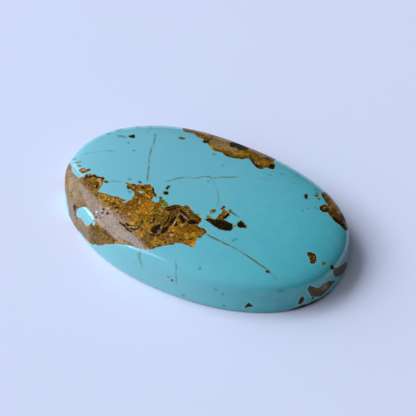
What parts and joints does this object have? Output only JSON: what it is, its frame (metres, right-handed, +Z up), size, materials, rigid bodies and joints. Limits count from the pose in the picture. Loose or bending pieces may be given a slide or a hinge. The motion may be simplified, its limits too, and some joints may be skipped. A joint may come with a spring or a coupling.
{
  "type": "turquoise cabochon",
  "caption": "Polished oval turquoise cabochon with brown matrix, a low domed top, a leaning girdle wall and a flat back for bezel setting.",
  "frame": {"origin": "centre of the flat back, on the surface that the stone rests on", "axes": "+X along the oval's long way, +Y across it, +Z up from the flat back to the crown of the dome"},
  "size_m": [0.04, 0.025, 0.0065],
  "materials": {
    "turquoise": "polished"
  },
  "bodies": {
    "root": {"cabochon": "turquoise"}
  },
  "joints": []
}
